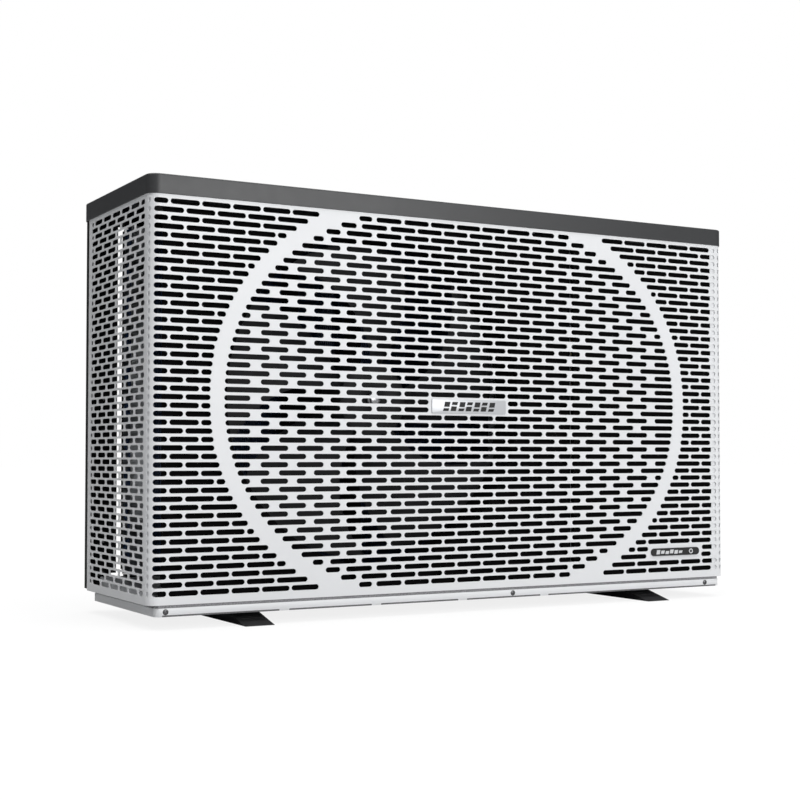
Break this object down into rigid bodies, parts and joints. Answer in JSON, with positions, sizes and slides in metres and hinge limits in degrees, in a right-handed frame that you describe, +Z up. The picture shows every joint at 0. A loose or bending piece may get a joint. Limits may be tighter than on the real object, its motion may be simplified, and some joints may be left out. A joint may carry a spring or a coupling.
{
  "type": "pool heat pump unit",
  "caption": "Slim side-blowing pool heat pump with a slotted wrap-round panel, fan, coil, compressor, water heat exchanger and union connections.",
  "frame": {"origin": "on the floor, at the middle of the overall width and depth", "axes": "+X to the right as seen from the front, +Y to the back, +Z up"},
  "size_m": [1.003, 0.3592, 0.608],
  "materials": {
    "white_paint": "fine texture powder coat",
    "cover_grey": "satin powder coat",
    "black_paint": "satin",
    "badge_silver": "satin",
    "galvanised": "spangled zinc",
    "black_plastic": "fine grain",
    "white_pvc": "smooth",
    "black_rubber": "matt",
    "black_foam": "open cell",
    "blue_fins": "blue hydrophilic coat",
    "steel": "zinc plated",
    "copper": "drawn tube",
    "brass": "machined",
    "board_green": "solder mask",
    "dial_white": "matt",
    "needle_red": "gloss",
    "clear_glass": "clear",
    "smoked_plastic": "gloss",
    "screen_glass": "gloss"
  },
  "bodies": {
    "cabinet": {"base_pan": "white_paint", "foot_left": "black_rubber", "foot_right": "black_rubber", "wrap_panel": "white_paint", "top_cover": "cover_grey", "badge_plate": "badge_silver", "small_plaque": "black_plastic", "rear_post_left": "black_paint", "rear_post_right": "black_paint", "rear_top_rail": "black_paint", "rear_guard": "black_paint", "service_panel": "white_paint", "partition_plate": "galvanised", "front_liner": "black_foam", "fan_shroud": "black_plastic", "fan_motor": "black_paint", "motor_bracket": "galvanised", "coil_fins": "blue_fins", "coil_end_left": "galvanised", "coil_end_right": "galvanised", "compressor": "black_paint", "grommet_1": "black_rubber", "grommet_2": "black_rubber", "grommet_3": "black_rubber", "accumulator": "black_paint", "heat_exchanger": "black_plastic", "inlet_socket": "black_plastic", "outlet_socket": "black_plastic", "inlet_tail": "white_pvc", "outlet_tail": "white_pvc", "reversing_valve": "brass", "expansion_valve": "brass", "discharge_pipe": "copper", "suction_pipe": "copper", "hot_gas_pipe": "copper", "coil_gas_pipe": "copper", "liquid_pipe": "copper", "coil_liquid_pipe": "copper", "control_box": "galvanised", "control_box_lid": "galvanised", "inverter_board": "board_green", "terminal_block": "black_plastic", "controller_housing": "black_plastic", "controller_screen": "screen_glass", "flap_pin": "steel", "gauge_case": "black_plastic", "gauge_dial": "dial_white", "gauge_lens": "clear_glass", "cable_gland": "black_plastic", "drain_spout": "black_plastic", "rim_screw_1": "steel", "rim_screw_2": "steel", "rim_screw_3": "steel"},
    "fan_rotor": {"fan": "black_plastic", "fan_shaft": "steel", "fan_nut": "steel"},
    "inlet_nut": {"inlet_union_nut": "black_plastic"},
    "outlet_nut": {"outlet_union_nut": "black_plastic"},
    "needle": {"gauge_needle": "needle_red"},
    "flap": {"controller_flap": "smoked_plastic"}
  },
  "joints": [
    {"name": "fan_spin", "type": "hinge", "parent": "cabinet", "child": "fan_rotor", "pos_m": [-0.145, -0.13155, 0.312], "axis": [0, -1, 0], "continuous": true},
    {"name": "inlet_nut_turn", "type": "hinge", "parent": "cabinet", "child": "inlet_nut", "pos_m": [0.41, 0.13325, 0.14], "axis": [0, 1, 0], "continuous": true},
    {"name": "outlet_nut_turn", "type": "hinge", "parent": "cabinet", "child": "outlet_nut", "pos_m": [0.41, 0.13325, 0.38], "axis": [0, 1, 0], "continuous": true},
    {"name": "gauge_needle_turn", "type": "hinge", "parent": "cabinet", "child": "needle", "pos_m": [0.262, 0.10755, 0.47], "axis": [0, -1, 0], "range_deg": [0, 270], "stiffness_Nm_per_rad": 0.0001},
    {"name": "flap_hinge", "type": "hinge", "parent": "cabinet", "child": "flap", "pos_m": [0.4965, -0.01155, 0.4988], "axis": [0, -1, 0], "range_deg": [0, 90]}
  ]
}
